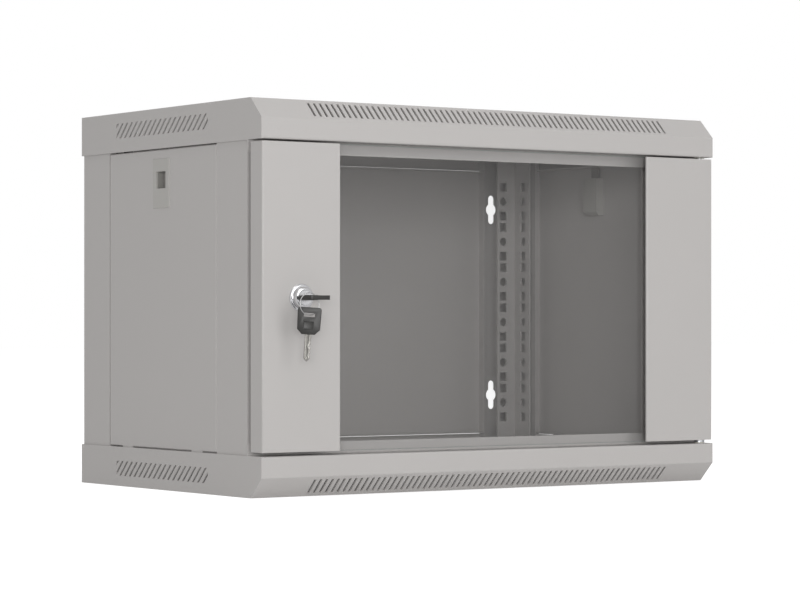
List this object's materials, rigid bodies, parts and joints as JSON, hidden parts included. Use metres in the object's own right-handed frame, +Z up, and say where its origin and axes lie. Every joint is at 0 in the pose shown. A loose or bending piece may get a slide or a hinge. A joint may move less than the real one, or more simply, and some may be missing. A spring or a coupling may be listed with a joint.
{
  "type": "wall mount network cabinet",
  "caption": "Wall mount network cabinet with a hinged glass door, cam lock with keys, tilt-out side panels and rack rails inside.",
  "frame": {"origin": "middle of the underside", "axes": "+X to the right as seen from the front, +Y to the back (the wall), +Z up; the door faces -Y"},
  "size_m": [0.545, 0.3815, 0.371],
  "materials": {
    "painted_steel": "light grey textured powder coat",
    "safety_glass": "clear toughened glass",
    "foam_tape": "black foam mounting tape",
    "rubber": "matt black rubber",
    "nylon": "natural nylon",
    "moulded_plastic": "light grey moulded plastic",
    "chrome_plate": "bright chrome plate",
    "zinc_plate": "bright zinc plate",
    "spring_steel": "plated spring wire",
    "nickel_plate": "nickel plated brass",
    "key_plastic": "black moulded plastic"
  },
  "bodies": {
    "cabinet": {"bottom_cap": "painted_steel", "cable_cover_bottom": "painted_steel", "cable_cover_top": "painted_steel", "depth_bar_bottom_left": "painted_steel", "depth_bar_bottom_right": "painted_steel", "depth_bar_top_left": "painted_steel", "depth_bar_top_right": "painted_steel", "door_buffers": "rubber", "front_column_left": "painted_steel", "front_column_right": "painted_steel", "hinge_bushes": "nylon", "rack_rail_front_left": "painted_steel", "rack_rail_front_right": "painted_steel", "rack_rail_rear_left": "painted_steel", "rack_rail_rear_right": "painted_steel", "rear_column_left": "painted_steel", "rear_column_right": "painted_steel", "rear_panel": "painted_steel", "top_cap": "painted_steel"},
    "door": {"door_strip_left": "painted_steel", "door_strip_right": "painted_steel", "glass_pane": "safety_glass", "glazing_tape_left": "foam_tape", "glazing_tape_right": "foam_tape", "hinge_bracket_top": "zinc_plate", "hinge_bracket_bottom": "zinc_plate", "hinge_pin_bottom": "zinc_plate", "lock_barrel": "chrome_plate", "lock_nut": "zinc_plate", "pin_spring": "spring_steel"},
    "hinge_pin": {"hinge_pin_top": "zinc_plate"},
    "plug": {"lock_plug": "chrome_plate", "lock_cam": "zinc_plate", "cam_screw": "zinc_plate"},
    "key": {"key_bow": "key_plastic", "key_blade": "nickel_plate"},
    "ring": {"key_ring": "spring_steel"},
    "spare_key": {"spare_key_bow": "key_plastic", "spare_key_blade": "nickel_plate"},
    "panel_left": {"side_panel_left": "painted_steel", "latch_housing_left": "moulded_plastic"},
    "panel_right": {"side_panel_right": "painted_steel", "latch_housing_right": "moulded_plastic"},
    "latch_left": {"latch_slider_left": "moulded_plastic"},
    "latch_right": {"latch_slider_right": "moulded_plastic"}
  },
  "joints": [
    {"name": "door_swing", "type": "hinge", "parent": "cabinet", "child": "door", "pos_m": [0.2631, -0.16275, 0.1855], "axis": [0, 0, 1], "range_deg": [0, 180]},
    {"name": "hinge_pin_draw", "type": "slide", "parent": "door", "child": "hinge_pin", "axis": [0, 0, -1], "range_m": [0, 0.008], "stiffness_N_per_m": 250, "deforming": ["pin_spring"]},
    {"name": "lock_turn", "type": "hinge", "parent": "door", "child": "plug", "pos_m": [-0.2291, -0.173, 0.1855], "axis": [0, -1, 0], "range_deg": [0, 90]},
    {"name": "key_withdraw", "type": "slide", "parent": "plug", "child": "key", "axis": [0, -1, 0], "range_m": [0, 0.026]},
    {"name": "ring_swing", "type": "hinge", "parent": "key", "child": "ring", "pos_m": [-0.23722, -0.1998, 0.1855], "axis": [0, -1, 0], "range_deg": [-90, 0]},
    {"name": "spare_key_swing", "type": "hinge", "parent": "ring", "child": "spare_key", "pos_m": [-0.23722, -0.1998, 0.17955], "axis": [0, -1, 0], "range_deg": [-25, 25]},
    {"name": "side_panel_left_tilt", "type": "hinge", "parent": "cabinet", "child": "panel_left", "pos_m": [-0.2707, 0, 0.04], "axis": [0, -1, 0], "range_deg": [0, 35]},
    {"name": "side_panel_right_tilt", "type": "hinge", "parent": "cabinet", "child": "panel_right", "pos_m": [0.2707, 0, 0.04], "axis": [0, 1, 0], "range_deg": [0, 35]},
    {"name": "latch_left_slide", "type": "slide", "parent": "panel_left", "child": "latch_left", "axis": [0, 0, 1], "range_m": [0, 0.004]},
    {"name": "latch_right_slide", "type": "slide", "parent": "panel_right", "child": "latch_right", "axis": [0, 0, 1], "range_m": [0, 0.004]}
  ],
  "couplings": [
    {"joint": "ring_swing", "follows": "lock_turn", "ratio": -1}
  ]
}
